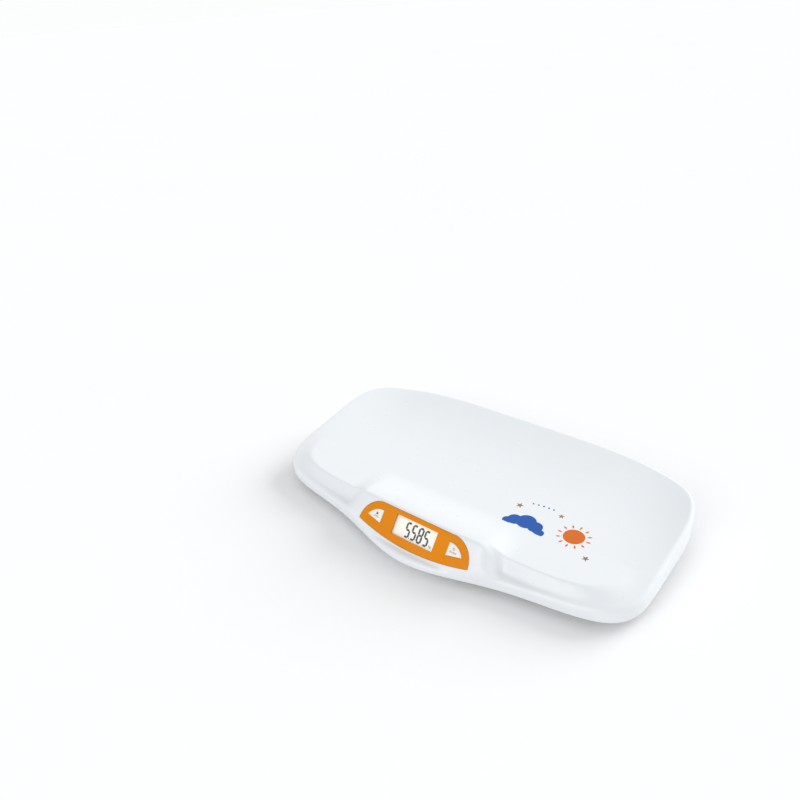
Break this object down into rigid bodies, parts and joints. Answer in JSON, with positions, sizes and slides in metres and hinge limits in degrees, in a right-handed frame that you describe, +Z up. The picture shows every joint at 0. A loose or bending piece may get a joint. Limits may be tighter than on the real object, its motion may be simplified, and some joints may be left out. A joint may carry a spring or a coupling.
{
  "type": "digital baby weighing scale",
  "caption": "Low white weighing tray for a baby with raised back and ends, a sloping orange display console with two keys, sprung feet and a battery door below.",
  "frame": {"origin": "on the table, below the middle of the outline", "axes": "+X along the tray, -Y towards the user's side with the display, +Z up"},
  "size_m": [0.56, 0.312, 0.0622],
  "materials": {
    "tray_white": "gloss",
    "base_white": "fine texture",
    "bezel_orange": "gloss",
    "clear_window": "clear, polished",
    "display_glass": "satin reflective display",
    "holder_white": "satin",
    "strip_rubber": "matt",
    "board_green": "satin",
    "chip_black": "matt",
    "key_white": "satin",
    "switch_black": "satin",
    "plunger_grey": "satin",
    "screw_steel": "zinc plated",
    "cell_steel": "brushed",
    "cradle_grey": "satin",
    "foot_white": "satin",
    "pad_rubber": "matt",
    "battery_jacket": "satin",
    "contact_plate": "nickel plated",
    "contact_spring": "nickel plated",
    "lead_white": "satin",
    "lead_black": "satin",
    "lead_red": "satin"
  },
  "bodies": {
    "scale_body": {"tray": "tray_white", "base_cover": "base_white", "display_bezel": "bezel_orange", "display_window": "clear_window", "lcd_glass": "display_glass", "lcd_holder": "holder_white", "connector_strip": "strip_rubber", "main_board": "board_green", "board_parts": "chip_black", "board_screws": "screw_steel", "left_key_switch": "switch_black", "right_key_switch": "switch_black", "base_screws": "screw_steel", "cradle_screws": "screw_steel", "battery_cells": "battery_jacket", "battery_plates": "contact_plate", "battery_springs": "contact_spring", "battery_lead_black": "lead_black", "battery_lead_red": "lead_red", "load_cell_front_left": "cell_steel", "load_cell_cradle_front_left": "cradle_grey", "load_cell_lead_front_left": "lead_white", "load_cell_front_right": "cell_steel", "load_cell_cradle_front_right": "cradle_grey", "load_cell_lead_front_right": "lead_white", "load_cell_back_left": "cell_steel", "load_cell_cradle_back_left": "cradle_grey", "load_cell_lead_back_left": "lead_white", "load_cell_back_right": "cell_steel", "load_cell_cradle_back_right": "cradle_grey", "load_cell_lead_back_right": "lead_white"},
    "left_key_body": {"left_key": "key_white", "left_switch_plunger": "plunger_grey"},
    "right_key_body": {"right_key": "key_white", "right_switch_plunger": "plunger_grey"},
    "door_body": {"battery_door": "base_white"},
    "foot_front_left": {"foot_cap_front_left": "foot_white", "foot_pad_front_left": "pad_rubber"},
    "foot_front_right": {"foot_cap_front_right": "foot_white", "foot_pad_front_right": "pad_rubber"},
    "foot_back_left": {"foot_cap_back_left": "foot_white", "foot_pad_back_left": "pad_rubber"},
    "foot_back_right": {"foot_cap_back_right": "foot_white", "foot_pad_back_right": "pad_rubber"}
  },
  "joints": [
    {"name": "left_key_press", "type": "slide", "parent": "scale_body", "child": "left_key_body", "axis": [0, 0.766, -0.6428], "range_m": [0, 0.0004], "stiffness_N_per_m": 1200, "springref_m": -0.0003},
    {"name": "right_key_press", "type": "slide", "parent": "scale_body", "child": "right_key_body", "axis": [0, 0.766, -0.6428], "range_m": [0, 0.0004], "stiffness_N_per_m": 1200, "springref_m": -0.0003},
    {"name": "battery_door_hinge", "type": "hinge", "parent": "scale_body", "child": "door_body", "pos_m": [0, 0.03585, 0.008], "axis": [-1, 0, 0], "range_deg": [0, 50]},
    {"name": "foot_front_left_press", "type": "slide", "parent": "scale_body", "child": "foot_front_left", "axis": [0, 0, 1], "range_m": [0, 0.0004], "stiffness_N_per_m": 1000, "deforming": ["load_cell_front_left"]},
    {"name": "foot_front_right_press", "type": "slide", "parent": "scale_body", "child": "foot_front_right", "axis": [0, 0, 1], "range_m": [0, 0.0004], "stiffness_N_per_m": 1000, "deforming": ["load_cell_front_right"]},
    {"name": "foot_back_left_press", "type": "slide", "parent": "scale_body", "child": "foot_back_left", "axis": [0, 0, 1], "range_m": [0, 0.0004], "stiffness_N_per_m": 1000, "deforming": ["load_cell_back_left"]},
    {"name": "foot_back_right_press", "type": "slide", "parent": "scale_body", "child": "foot_back_right", "axis": [0, 0, 1], "range_m": [0, 0.0004], "stiffness_N_per_m": 1000, "deforming": ["load_cell_back_right"]}
  ]
}
